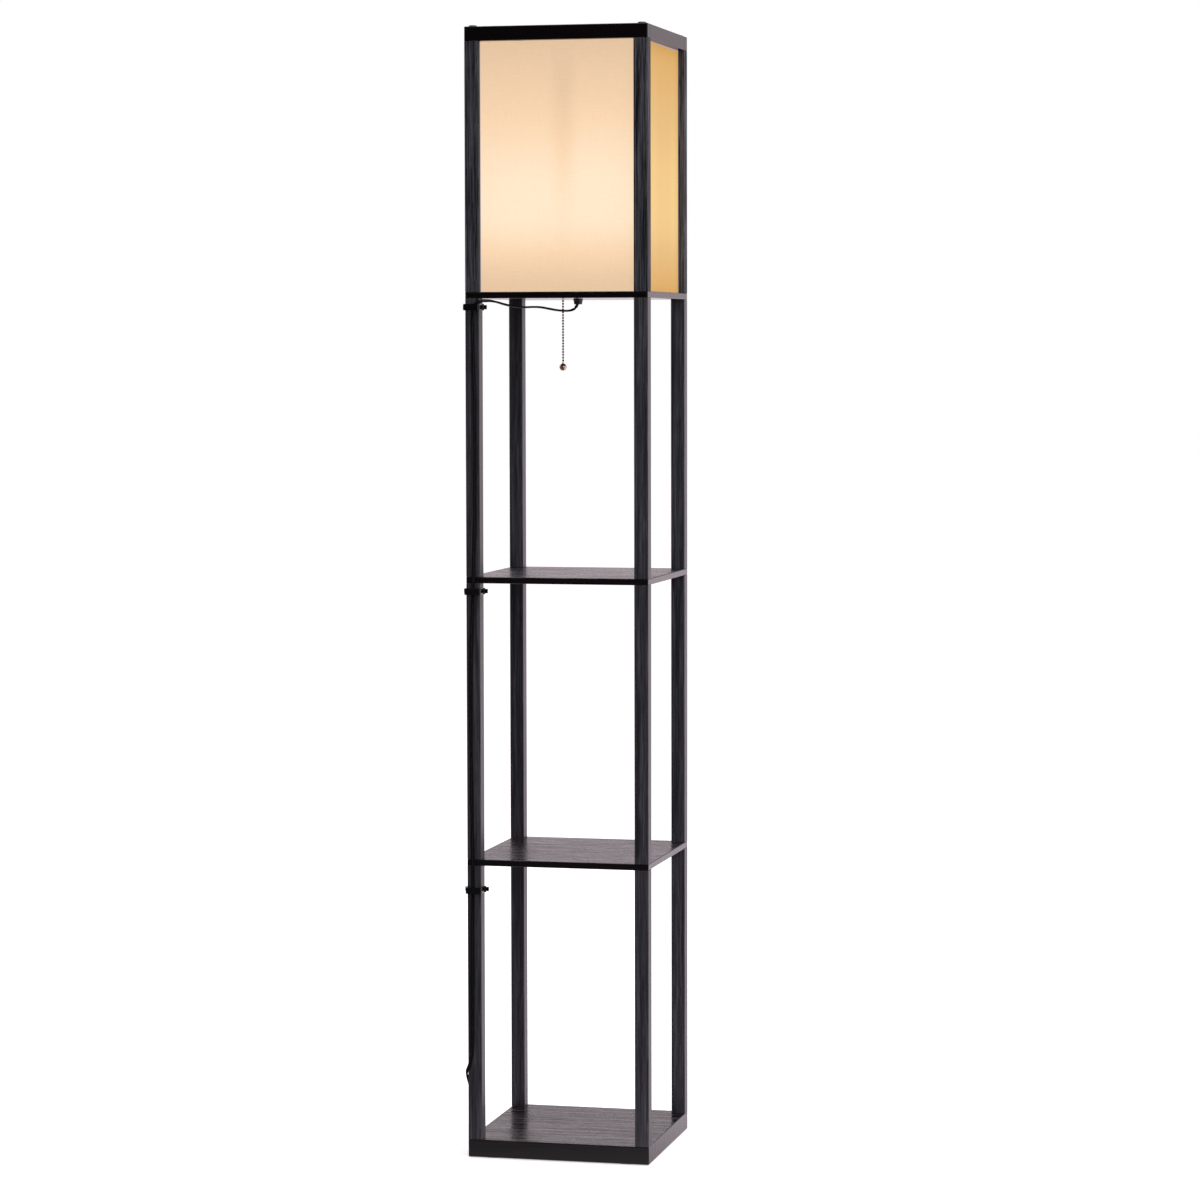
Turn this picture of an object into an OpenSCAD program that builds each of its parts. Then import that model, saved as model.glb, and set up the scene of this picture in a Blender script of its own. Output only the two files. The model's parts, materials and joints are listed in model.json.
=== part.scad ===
// Shelf floor lamp: a slim square tower on four posts, with three open shelf bays and a
// glowing lamp box on top. Each board is clamped between the ends of short posts.
// Millimetres, +Z up. The origin is on the floor below the middle of the base, front at -Y.

/* [Tower] */
// Width and depth of the tower
tower_w = 260; // [240:1:320]
// Side of the square posts
post_w = 20; // [20:0.5:26]
// Chamfer that eases the edges of posts and boards
edge_chamfer = 0.8; // [0.4:0.1:1.2]
// Clear height of each of the three shelf bays
bay_h = 387; // [330:1:450]
// Thickness of the two shelves and of the lamp floor
board_t = 9; // [8:0.5:15]
// Thickness of the base
base_t = 25; // [20:1:35]
// Height of the lamp box's posts
lamp_box_h = 346; // [320:1:420]
// Thickness of the cap frame
cap_t = 20; // [16:1:30]

/* [Feet] */
// Thickness of the felt pads
pad_t = 1; // [0.8:0.1:3]
// Diameter of the felt pads
pad_d = 16; // [12:1:20]
// Distance of the pads' centres from the base's left and right sides
pad_inset_x = 34; // [30:1:60]
// Distance of the pads' centres from the base's front and back
pad_inset_y = 12; // [11:0.5:14]

/* [Fasteners] */
// Thread diameter of the studs and bolts
thread_d = 6; // [5:0.5:6.5]
// Outer diameter of the threaded inserts
insert_d = 9; // [8.5:0.1:9.5]
// Length of the threaded inserts
insert_l = 15; // [12:1:20]
// How far a stud or bolt reaches into an insert
stud_reach = 13; // [10:1:14]
// Diameter of the bolt heads
head_d = 12; // [10:0.5:14]
// Height of the bolt heads
head_t = 2; // [1.6:0.1:3]
// Width across flats of the hexagon sockets in the bolt heads
hex_af = 3.5; // [3:0.5:4]
// Depth of the hexagon sockets in the bolt heads
hex_depth = 3; // [2:0.5:4]
// Depth of the bolt pockets under the base
base_pocket = 6; // [4:0.5:8]

/* [Lamp box] */
// Thickness of the shade panels
panel_t = 1.6; // [1:0.1:2.4]
// Depth of the grooves that hold the panels in the posts
groove_depth = 4; // [3:0.1:4.2]
// Clearance of a panel in its groove, each way
panel_gap = 0.3; // [0.2:0.05:0.5]
// Width of the cap frame's rails
rail_w = 20; // [18:0.5:24]
// Length of the tenons on the cap's side rails
tenon_l = 5; // [3:0.5:5.5]
// Thickness of the tenons
tenon_t = 7; // [5:0.5:9]
// Height of the tenons
tenon_h = 12; // [8:0.5:13]

/* [Lampholder] */
// Outer diameter of the threaded tube through the lamp floor
nipple_d = 9.9; // [9.5:0.1:10.5]
// Bore of the threaded tube
nipple_bore = 7.2; // [6.8:0.1:7.6]
// Diameter of the cord bushing below the lamp floor
bushing_d = 14; // [13:0.5:16]
// Height of the cord bushing
bushing_h = 7.5; // [6.5:0.5:9]
// Thickness of the washer on the lamp floor
washer_t = 1.2; // [0.8:0.1:2]
// Thickness of the nut on the washer
nut_t = 3; // [2.5:0.1:4]
// Outer diameter of the lampholder's metal shell
shell_d = 33; // [33:0.5:38]
// Wall of the metal shell and cap
shell_t = 0.7; // [0.5:0.1:1]
// Height of the metal shell
shell_h = 46; // [42:1:52]
// Height of the switch body inside the shell
body_h = 22; // [20:1:26]
// Mean diameter of the bulb's screw thread
screw_d = 25.6; // [25:0.1:26.4]
// Pitch of the bulb's screw thread
screw_pitch = 3.6; // [3.4:0.1:3.8]
// Largest diameter of the bulb
bulb_d = 60; // [50:1:70]
// Height of the bulb above its contact
bulb_h = 108; // [95:1:120]

/* [Pull chain] */
// Distance of the chain from the lampholder's metal shell
chain_out = 5.5; // [5.5:0.1:8]
// Diameter of a bead
bead_d = 3; // [2.4:0.1:3.2]
// Distance from bead to bead
bead_pitch = 4; // [3.6:0.1:4.5]
// Diameter of the wire links
link_d = 0.9; // [0.7:0.1:1.2]
// Diameter of the ball at the chain's end
ball_d = 10.6; // [8:0.2:14]
// Beads on the lowest length of chain
lower_beads = 17; // [8:1:24]
// Length of the ball's neck below the last bead
ball_neck = 2.6; // [1.5:0.1:4]
// Diameter of the hole for the chain in the lamp floor
chain_hole_d = 7; // [6:0.5:10]

/* [Cord and clips] */
// Width of the flat twin cord
cord_w = 5; // [4.6:0.1:5.2]
// Thickness of the flat twin cord
cord_t = 3; // [2.6:0.1:3.2]
// Height of a cord clip
clip_h = 9; // [7:0.5:12]
// Wall of a cord clip
clip_t = 1.6; // [1.2:0.1:2.2]
// Depth of the cord channel in a clip
clip_channel = 4.6; // [4.6:0.1:6]
// How far a clip's arms reach back along the post
clip_reach = 13; // [9:0.5:16]
// How far a clip's lips stand out from its arms
clip_lip = 5.4; // [4:0.2:7]
// Height of the lips at their tips
lip_h = 6; // [4:0.5:7]
// Distance of the clips' centres below the boards above them, from the top clip down
clip_drops = [12, 11.5, 34.5]; // [10:0.5:60]

/* [Plug] */
// Width of the plug's body
plug_w = 22; // [20:0.5:24]
// Thickness of the plug's body
plug_t = 12; // [10:0.5:14]
// Length of the plug's body
plug_l = 24; // [20:1:30]
// Length of the plug's flexible sleeve
sleeve_l = 16; // [12:1:20]
// Length of the blades
blade_l = 16; // [14:0.5:18]
// Distance between the blades' centres
blade_gap = 12.7; // [12.7:0.1:12.8]

/* [Hidden] */
$fn = 48;
// Clearance of a bolt in a wooden hole, on the radius
hole_gap = 0.3;
// Clearance of metal in metal, on the radius
thread_gap = 0.1;
// Clearance of glued or pressed pieces, on the radius
glue_gap = 0.05;
// Clearance of a clip on a post, each side
clip_gap = 0.15;
// Overlap that keeps cuts clean
cut = 1;
// How far a thread's tip tapers, along it and across it
thread_tip = 1;

// Each corner has a name and its signs along X and Y
CORNERS = [["front_left", -1, -1], ["front_right", 1, -1], ["back_left", -1, 1], ["back_right", 1, 1]];
// Each side has a name and the angle that turns the front to it
SIDES = [["front", 0], ["right", 90], ["back", 180], ["left", 270]];
TIERS = ["lower", "middle", "upper"];

// Heights of the boards' undersides, from the floor up
half_w = tower_w / 2;
post_c = half_w - post_w / 2;
base_z = pad_t;
shelf_z = [for (i = [0:2]) base_z + base_t + bay_h + i * (board_t + bay_h)];
tier_z = [for (i = [0:2]) shelf_z[i] - bay_h];
floor_z = shelf_z[2];
floor_top = floor_z + board_t;
cap_z = floor_top + lamp_box_h;
cap_top = cap_z + cap_t;
opening_w = tower_w - 2 * rail_w;

// A rectangle about the origin with its corners cut at 45 degrees
module eased_rect(w, d, c = edge_chamfer) {
    x = w / 2;
    y = d / 2;
    polygon([
        [c - x, -y], [x - c, -y], [x, c - y], [x, y - c],
        [x - c, y], [c - x, y], [-x, y - c], [-x, c - y]
    ]);
}

// A board lying on z = 0 with all its edges eased
module eased_board(w, d, t) {
    intersection() {
        linear_extrude(t) eased_rect(w, d);
        translate([0, d / 2, t / 2]) rotate([90, 0, 0]) linear_extrude(d) eased_rect(w, t);
        translate([-w / 2, 0, t / 2]) rotate([90, 0, 90]) linear_extrude(w) eased_rect(d, t);
    }
}

// Children at the four post centres
module at_posts() {
    for (c = CORNERS) translate([c[1] * post_c, c[2] * post_c, 0]) children();
}

// A ring about the Z axis between two radii
module ring(r_out, r_in, h) {
    difference() {
        cylinder(r = r_out, h = h);
        translate([0, 0, -cut]) cylinder(r = r_in, h = h + 2 * cut);
    }
}

// Feet and base

pocket_d = head_d + 2;

module foot_pads() {
    color("dimgray")
        for (sx = [-1, 1]) for (sy = [-1, 1])
            translate([sx * (half_w - pad_inset_x), sy * (half_w - pad_inset_y), 0])
                cylinder(d = pad_d, h = pad_t);
}

module base_board() {
    color([0.14, 0.12, 0.14])
        difference() {
            translate([0, 0, base_z]) eased_board(tower_w, tower_w, base_t);
            at_posts() {
                cylinder(r = thread_d / 2 + hole_gap, h = base_z + base_t + cut);
                translate([0, 0, base_z - cut]) cylinder(d = pocket_d, h = base_pocket + cut);
            }
        }
}

// A low round head with a hexagon socket, its underside at z = 0, and its shank below
module bolt(shank_l) {
    difference() {
        union() {
            rotate_extrude() polygon([
                [0, 0], [head_d / 2, 0], [head_d / 2, head_t * 0.4],
                [head_d / 2 - head_t * 0.25, head_t * 0.8], [head_d / 2 - head_t * 0.6, head_t], [0, head_t]
            ]);
            translate([0, 0, -shank_l]) cylinder(d1 = thread_d - thread_tip, d2 = thread_d, h = thread_tip);
            translate([0, 0, thread_tip - shank_l]) cylinder(d = thread_d, h = shank_l - thread_tip);
        }
        translate([0, 0, head_t - hex_depth]) cylinder(d = hex_af / cos(30), h = hex_depth + cut, $fn = 6);
    }
}

module base_bolts() {
    color("dimgray")
        at_posts()
            translate([0, 0, base_z + base_pocket]) rotate([180, 0, 0])
                bolt(base_t - base_pocket + stud_reach);
}

// Posts, inserts and studs

flange_d = insert_d + 1.6;
flange_t = 1;
// Room that a bore leaves past the insert's inner end
bore_slack = 1;

// The bore that takes an insert, from a post's end upwards
module insert_bore() {
    translate([0, 0, -cut]) cylinder(r = insert_d / 2 + glue_gap, h = insert_l + bore_slack + cut);
    translate([0, 0, -cut]) cylinder(r = flange_d / 2 + glue_gap, h = flange_t + cut);
}

// A post on z = 0 with an insert bore in each end
module post_blank(h) {
    difference() {
        linear_extrude(h) eased_rect(post_w, post_w);
        insert_bore();
        translate([0, 0, h]) rotate([180, 0, 0]) insert_bore();
    }
}

module tier_post(c, z) {
    color([0.17, 0.17, 0.2]) translate([c[1] * post_c, c[2] * post_c, z]) post_blank(bay_h);
}

// A threaded insert, its flange flush with a post's end at z = 0
module insert() {
    difference() {
        union() {
            cylinder(d = flange_d, h = flange_t);
            cylinder(d = insert_d, h = insert_l);
        }
        translate([0, 0, -cut]) cylinder(r = thread_d / 2 + thread_gap, h = insert_l + 2 * cut);
    }
}

// The lower and upper ends of every post
post_ends = concat(
    [for (z = tier_z) [z, z + bay_h]],
    [[floor_top, cap_z]]
);

module threaded_inserts() {
    color("goldenrod")
        for (e = post_ends) at_posts() {
            translate([0, 0, e[0]]) insert();
            translate([0, 0, e[1]]) rotate([180, 0, 0]) insert();
        }
}

// Double-ended studs through the board whose underside is at z
module studs(z) {
    tip = thread_tip;
    stud_l = board_t + 2 * stud_reach;
    color("silver")
        at_posts() translate([0, 0, z - stud_reach]) {
            cylinder(d1 = thread_d - tip, d2 = thread_d, h = tip);
            translate([0, 0, tip]) cylinder(d = thread_d, h = stud_l - 2 * tip);
            translate([0, 0, stud_l - tip]) cylinder(d1 = thread_d, d2 = thread_d - tip, h = tip);
        }
}

// Shelves and lamp floor

module shelf(z) {
    difference() {
        translate([0, 0, z]) eased_board(tower_w, tower_w, board_t);
        at_posts() translate([0, 0, z - cut]) cylinder(r = thread_d / 2 + hole_gap, h = board_t + 2 * cut);
    }
}

module lower_shelf() {
    color([0.12, 0.1, 0.12]) shelf(shelf_z[0]);
}

module upper_shelf() {
    color([0.12, 0.1, 0.12]) shelf(shelf_z[1]);
}

// Distance of the chain from the lampholder's axis
chain_x = shell_d / 2 + chain_out;

module lamp_floor() {
    color([0.12, 0.1, 0.12])
        difference() {
            shelf(floor_z);
            translate([0, 0, floor_z - cut]) cylinder(r = nipple_d / 2 + hole_gap, h = board_t + 2 * cut);
            translate([-chain_x, 0, floor_z - cut]) cylinder(d = chain_hole_d, h = board_t + 2 * cut);
        }
}

// Lamp box

groove_w = panel_t + 2 * panel_gap;
panel_w = tower_w - 2 * post_w + 2 * (groove_depth - panel_gap);

module lamp_post(c) {
    color([0.17, 0.17, 0.2])
        translate([c[1] * post_c, c[2] * post_c, floor_top])
            difference() {
                post_blank(lamp_box_h);
                for (a = [0, 90]) rotate(a) {
                    sign_in = a == 0 ? -c[1] : -c[2];
                    translate([sign_in * (post_w / 2 - groove_depth / 2 + cut / 2), 0, lamp_box_h / 2])
                        cube([groove_depth + cut, groove_w, lamp_box_h + 2 * cut], center = true);
                }
            }
}

module shade_panel(side) {
    color([0.93, 0.84, 0.7])
        rotate(side[1])
            translate([-panel_w / 2, -post_c - panel_t / 2, floor_top])
                cube([panel_w, panel_t, lamp_box_h - panel_gap]);
}

// The cap frame's outline, before it is split into rails
module cap_blank() {
    difference() {
        translate([0, 0, cap_z]) eased_board(tower_w, tower_w, cap_t);
        translate([0, 0, cap_z + cap_t / 2]) cube([opening_w, opening_w, cap_t + 2 * cut], center = true);
        at_posts() translate([0, 0, cap_z - cut]) cylinder(r = thread_d / 2 + hole_gap, h = cap_t + 2 * cut);
    }
}

// The core of a side rail on side s, as long as its two tenons reach
module tenon_bar(s, gap) {
    translate([s * (half_w - rail_w / 2), 0, cap_z + cap_t / 2])
        cube([tenon_t + 2 * gap, opening_w + 2 * (tenon_l + gap), tenon_h + 2 * gap], center = true);
}

module cap_rail(side) {
    along_x = side[0] == "front" || side[0] == "back";
    sign_out = side[0] == "front" || side[0] == "left" ? -1 : 1;
    inner = opening_w / 2;
    low = sign_out > 0 ? inner : -inner - rail_w - cut;
    color([0.07, 0.05, 0.07])
        if (along_x) {
            difference() {
                intersection() {
                    cap_blank();
                    translate([-tower_w, low, cap_z - cut]) cube([2 * tower_w, rail_w + cut, cap_t + 2 * cut]);
                }
                for (s = [-1, 1]) tenon_bar(s, thread_gap);
            }
        } else {
            union() {
                intersection() {
                    cap_blank();
                    translate([low, -inner, cap_z - cut]) cube([rail_w + cut, opening_w, cap_t + 2 * cut]);
                }
                tenon_bar(sign_out, 0);
            }
        }
}

module cap_bolts() {
    color("dimgray") at_posts() translate([0, 0, cap_top]) bolt(cap_t + stud_reach);
}

// Cord clips: a channel over the cord, two arms along the post and two flared lips

lip_r = 3;
clip_corner = 1.5;

// A rectangle from -x to x and from y0 to y1 with its two corners at y0 rounded
module round_front(x, y0, y1, r) {
    translate([r - x, y0]) square([2 * (x - r), y1 - y0]);
    translate([-x, y0 + r]) square([2 * x, y1 - y0 - r]);
    for (s = [-1, 1]) translate([s * (x - r), y0 + r]) circle(r = r);
}

module clip_plan() {
    inner = post_w / 2 + clip_gap;
    outer = inner + clip_t;
    front = -post_w / 2 - clip_channel;
    back = clip_reach - post_w / 2;
    difference() {
        round_front(outer, front - clip_t, back, clip_corner + clip_t);
        round_front(inner, front, back + cut, clip_corner);
    }
    for (s = [-1, 1]) {
        translate([s * (inner + lip_r), back])
            intersection() {
                difference() {
                    circle(r = lip_r);
                    circle(r = lip_r - clip_t);
                }
                translate([s > 0 ? -lip_r : 0, 0]) square([lip_r, lip_r]);
            }
        translate([s > 0 ? inner + lip_r : -inner - clip_t - clip_lip, back + lip_r - clip_t])
            square([clip_lip + clip_t - lip_r, clip_t]);
    }
}

module cord_clip() {
    lip_x = post_w / 2 + clip_gap + lip_r;
    trim_h = (clip_h - lip_h) / 2;
    difference() {
        linear_extrude(clip_h) clip_plan();
        for (s = [-1, 1]) for (z = [-cut, clip_h - trim_h])
            translate([s > 0 ? lip_x : -lip_x - clip_lip - cut, clip_reach - post_w / 2, z])
                cube([clip_lip + cut, lip_r + cut, trim_h + cut]);
    }
}

clip_z = [for (i = [0:2]) shelf_z[2 - i] - clip_drops[i]];

module cord_clips() {
    color([0.04, 0.04, 0.04])
        for (z = clip_z) translate([-post_c, -post_c, z - clip_h / 2]) cord_clip();
}

// Lampholder, from the cord bushing up

washer_d = 24;
nut_af = 14;
nut_z = floor_top + washer_t;
socket_z = nut_z + nut_t;
// How far the nipple hangs below the lamp floor's underside, into the bushing
nipple_drop = 4;
// The metal cup: the height of its hub, dome and rim, and the hub's radius
hub_h = 5;
hub_r = 8;
dome_h = 13;
rim_h = 6;
dome_z = socket_z + hub_h - 2;
nipple_top = dome_z + 8;
// The shell stands inside the cup's rim, and the switch body inside the shell
shell_z = dome_z + dome_h + 1;
shell_top = shell_z + shell_h;
body_z = shell_z + 2;
guide_z = body_z + body_h / 2;
contact_z = body_z + body_h;
contact_t = 1.6;
contact_d = 9;

module nipple() {
    z = floor_z - nipple_drop;
    color("goldenrod") translate([0, 0, z]) ring(nipple_d / 2, nipple_bore / 2, nipple_top - z);
}

module nipple_nut() {
    color("silver")
        translate([0, 0, nut_z])
            difference() {
                cylinder(d = nut_af / cos(30), h = nut_t, $fn = 6);
                translate([0, 0, -cut]) cylinder(r = nipple_d / 2 + thread_gap, h = nut_t + 2 * cut);
            }
}

module nipple_washer() {
    color("silver") translate([0, 0, floor_top]) ring(washer_d / 2, nipple_d / 2 + hole_gap, washer_t);
}

// A tapered nut below the lamp floor, with a trumpet mouth that the cord bends out of
module cord_bushing() {
    seat = nipple_d / 2 + thread_gap;
    bore = nipple_bore / 2;
    tip_z = floor_z - bushing_h;
    seat_z = floor_z - nipple_drop - hole_gap;
    rim = 1.6;
    taper = 0.6;
    tip_r = bushing_d / 2 - 2 * taper;
    tip_round = 0.9;
    flare = 1;
    flare_h = 2.6;
    color([0.2, 0.2, 0.21])
        rotate_extrude() polygon(concat(
            [[seat, floor_z], [bushing_d / 2, floor_z], [bushing_d / 2, floor_z - rim]],
            [[bushing_d / 2 - taper, floor_z - rim - taper]],
            [for (a = [0:15:90]) [tip_r - tip_round * (1 - cos(a)), tip_z + tip_round * (1 - sin(a))]],
            [for (a = [75:-15:0]) [bore + flare * (1 - cos(a)), tip_z + flare_h * (1 - sin(a))]],
            [[bore, seat_z], [seat, seat_z]]
        ));
}

// A quarter curve from (r0, z0), flat at its start, that rises by h over a width of w
function dome_curve(w, h, r0, z0) =
    [for (a = [0:11.25:90]) [r0 + w * sin(a), z0 + h * (1 - cos(a))]];
function reversed(list) = [for (i = [len(list) - 1:-1:0]) list[i]];

// A spun metal cup: a hub on the nipple, a dome and a straight rim
module socket_cap() {
    seat = nipple_d / 2 + thread_gap;
    rim_r = shell_d / 2 + hole_gap + shell_t;
    rim_z = dome_z + dome_h + rim_h;
    hub_wall = 3 * shell_t;
    outside = dome_curve(rim_r - hub_r, dome_h, hub_r, dome_z);
    inside = dome_curve(rim_r - shell_t - hub_r, dome_h - shell_t, hub_r, dome_z + shell_t);
    color([0.75, 0.65, 0.4])
        rotate_extrude() polygon(concat(
            [[seat, socket_z], [hub_r, socket_z]], outside, [[rim_r, rim_z], [rim_r - shell_t, rim_z]],
            reversed(inside), [[seat, dome_z + hub_wall]]
        ));
}

module socket_shell() {
    r = shell_d / 2;
    curl = 1.5;
    color([0.75, 0.65, 0.4])
        difference() {
            rotate_extrude() polygon(concat(
                [[r, shell_z]],
                [for (a = [0:30:90]) [r - curl * (1 - cos(a)), shell_top - curl * (1 - sin(a))]],
                [[r - curl - shell_t, shell_top], [r - curl - shell_t, shell_top - shell_t]],
                [[r - curl, shell_top - shell_t], [r - shell_t, shell_top - curl - shell_t / 2]],
                [[r - shell_t, shell_z]]
            ));
            arm(guide_r + hole_gap);
        }
}

// The card liner between the shell and the switch body
liner_t = 0.8;
liner_gap = 0.2;

module socket_liner() {
    r = shell_d / 2 - shell_t - liner_gap;
    color([0.5, 0.35, 0.2])
        difference() {
            translate([0, 0, body_z]) ring(r, r - liner_t, shell_top - curl_room - body_z);
            arm(guide_r + hole_gap);
        }
}

// How far the liner stays below the shell's rolled rim
curl_room = 2.4;
body_r = shell_d / 2 - shell_t - liner_t - 2 * liner_gap;
guide_r = 4.2;
guide_grip = 5;
// Radius of the two wire grooves in the switch body
groove_r = 3;

// The chain guide's arm, from inside the switch body out past the shell
module arm(r) {
    translate([-chain_x, 0, guide_z]) rotate([0, 90, 0]) cylinder(r = r, h = chain_x - body_r + guide_grip);
}

module switch_body() {
    color([0.12, 0.08, 0.06])
        difference() {
            translate([0, 0, body_z]) cylinder(r = body_r, h = body_h);
            arm(guide_r + thread_gap);
            for (s = [-1, 1])
                translate([0, s * body_r, body_z - cut]) cylinder(r = groove_r, h = body_h + 2 * cut);
        }
}

// The bulb's rolled thread runs from screw_bottom to screw_top above the contact's underside
screw_wall = 0.5;
screw_gap = 0.45;
screw_amp = 0.35;
screw_bottom = 4.5;
screw_top = 21;
screw_step = screw_pitch / 8;
// Radius of the bulb's rolled thread at a height
function screw_r(z) = screw_d / 2 + screw_amp * cos(360 * z / screw_pitch);
// Points up the thread at a distance from the bulb's own, between two heights
function thread_line(z0, z1, off) = [for (z = [z0:screw_step:z1]) [screw_r(z) + off, z]];

module screw_shell() {
    off = screw_gap + screw_amp;
    lip = 6;
    color([0.8, 0.72, 0.5])
        translate([0, 0, contact_z])
            rotate_extrude() polygon(concat(
                [[lip, 0], [screw_d / 2 + off, 0]],
                thread_line(screw_step, screw_top, off + screw_wall),
                reversed(thread_line(screw_step, screw_top, off)),
                [[screw_d / 2 + off - screw_wall, screw_wall], [lip, screw_wall]]
            ));
}

module centre_contact() {
    color("goldenrod")
        translate([0, 0, contact_z]) cylinder(d1 = contact_d, d2 = contact_d - 3, h = contact_t);
}

// The bent tube that turns the chain down out of the lampholder
module chain_guide() {
    mouth_r = 5;
    waist_r = guide_r - 0.4;
    wall = 0.8;
    bell_h = 7;
    flare_h = 2;
    bore = bead_d / 2 + guide_gap;
    color([0.75, 0.65, 0.4])
        difference() {
            union() {
                arm(guide_r);
                translate([-chain_x, 0, guide_z]) sphere(r = guide_r);
                translate([-chain_x, 0, guide_z])
                    rotate_extrude() polygon([
                        [0, 0], [guide_r, 0], [waist_r, -bell_h / 2], [waist_r + 0.3, flare_h / 2 - bell_h],
                        [mouth_r, -bell_h], [0, -bell_h]
                    ]);
            }
            translate([-chain_x, 0, guide_z - bell_h - cut]) cylinder(r = bore, h = bell_h + guide_head + cut);
            translate([-chain_x, 0, guide_z - bell_h])
                rotate_extrude() polygon([[0, 0], [mouth_r - wall, 0], [bore, flare_h], [0, flare_h]]);
        }
}

// Bulb

neck_r = screw_d / 2 - 1.4;
collar_top = screw_top + 3;
function globe_line(r, z) = [for (a = [10:10:90]) [r * cos(a), z + r * sin(a)]];

module bulb_base() {
    tip_r = 4;
    tip_z = contact_t + hole_gap;
    color("silver")
        translate([0, 0, contact_z])
            rotate_extrude() polygon(concat(
                [[0, tip_z], [tip_r, tip_z], [tip_r + 1, tip_z + 0.7]],
                [[screw_d / 2 - 1.2, screw_bottom - 0.4]],
                thread_line(screw_bottom, screw_top, 0),
                [[neck_r + 1, collar_top], [neck_r + glue_gap, collar_top]],
                [[neck_r + glue_gap, screw_top], [0, screw_top]]
            ));
}

// The glass: a straight neck inside the collar, a swell, and a half globe of radius r
module bulb_glass() {
    wall = 1;
    globe_z = bulb_h - bulb_d / 2;
    swell = [for (i = [0:10]) [neck_r + (bulb_d / 2 - neck_r) * (0.5 - 0.5 * cos(18 * i)),
        collar_top + (globe_z - collar_top) * i / 10]];
    outer = concat([[neck_r, screw_top + glue_gap]], swell, globe_line(bulb_d / 2, globe_z));
    inner = concat([[neck_r - wall, screw_top + glue_gap]],
        [for (p = swell) p - [wall, 0]], globe_line(bulb_d / 2 - wall, globe_z));
    color([0.97, 0.95, 0.9])
        translate([0, 0, contact_z]) rotate_extrude() polygon(concat(outer, reversed(inner)));
}

// Pull chain: three lengths of beads, so that the lower two can swing

// Clearance of the beads in the guide, on the radius, and the height of its bore above its axis
guide_gap = 0.6;
guide_head = 3;
// Height of the topmost bead's centre
chain_top_z = guide_z - 1.8;
upper_beads = ceil((chain_top_z - floor_z + 2) / bead_pitch);
middle_beads = 5;
// Heights of the two swing points, each midway between two beads
swing_x_z = chain_top_z - (upper_beads - 0.5) * bead_pitch;
swing_y_z = swing_x_z - middle_beads * bead_pitch;
link_gap = 0.2;
ball_z = swing_y_z - (lower_beads - 0.5) * bead_pitch - bead_d / 2 - ball_neck - ball_d / 2;

// Beads below the height z, threaded on one wire that ends half a pitch past them
module beads(z, count) {
    r = bead_d / 2;
    translate([-chain_x, 0, z]) {
        for (i = [0:count - 1]) translate([0, 0, -(i + 0.5) * bead_pitch]) sphere(r = r, $fn = 24);
        translate([0, 0, -count * bead_pitch + link_gap])
            cylinder(d = link_d, h = count * bead_pitch - 2 * link_gap, $fn = 16);
    }
}

module chain_upper() {
    color("goldenrod") beads(swing_x_z + upper_beads * bead_pitch, upper_beads);
}

module chain_middle() {
    color("goldenrod") beads(swing_x_z, middle_beads);
}

module chain_lower() {
    color("goldenrod") beads(swing_y_z, lower_beads);
}

// A ball with a small neck that holds the chain's last bead
module chain_ball() {
    top = swing_y_z - lower_beads * bead_pitch;
    color([0.35, 0.22, 0.12])
        translate([-chain_x, 0, ball_z])
            union() {
                sphere(d = ball_d);
                cylinder(r1 = 2, r2 = 1.2, h = top - ball_z);
            }
}

// Cord

// A flat section of n flat sides, half as many round each edge, w wide along the first axis
function cord_section(n, w, t) =
    let (k = n / 2, step = 180 / k, r = t / 2 / cos(step / 2), tip = r * cos(k % 2 == 1 ? 0 : step / 2))
    [for (s = [1, -1]) for (i = [0:k - 1])
        let (a = -90 + step / 2 + i * step) [s * (w / 2 - tip + r * cos(a)), s * r * sin(a)]];

function unit(v) = v / norm(v);

// The direction of a route at its point i, between its neighbours
function heading(p, i) = unit(p[min(i + 1, len(p) - 1)] - p[max(i - 1, 0)]);

// A tube along points p, whose flat side faces along the vectors n
module flat_tube(p, n, section) {
    m = len(section);
    last = len(p) - 1;
    rings = [for (i = [0:last])
        let (t = heading(p, i), up = unit(n[i] - (n[i] * t) * t), side = cross(up, t))
        for (q = section) p[i] + side * q[0] + up * q[1]];
    walls = [for (i = [0:last - 1]) for (j = [0:m - 1]) for (half = [0, 1])
        let (a = i * m + j, b = i * m + (j + 1) % m)
        half == 0 ? [a, a + m, b] : [b, a + m, b + m]];
    ends = concat(
        [for (j = [1:m - 2]) [0, j, j + 1]],
        [for (j = [1:m - 2]) [last * m, last * m + j + 1, last * m + j]]
    );
    polyhedron(rings, concat(walls, ends));
}

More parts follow.
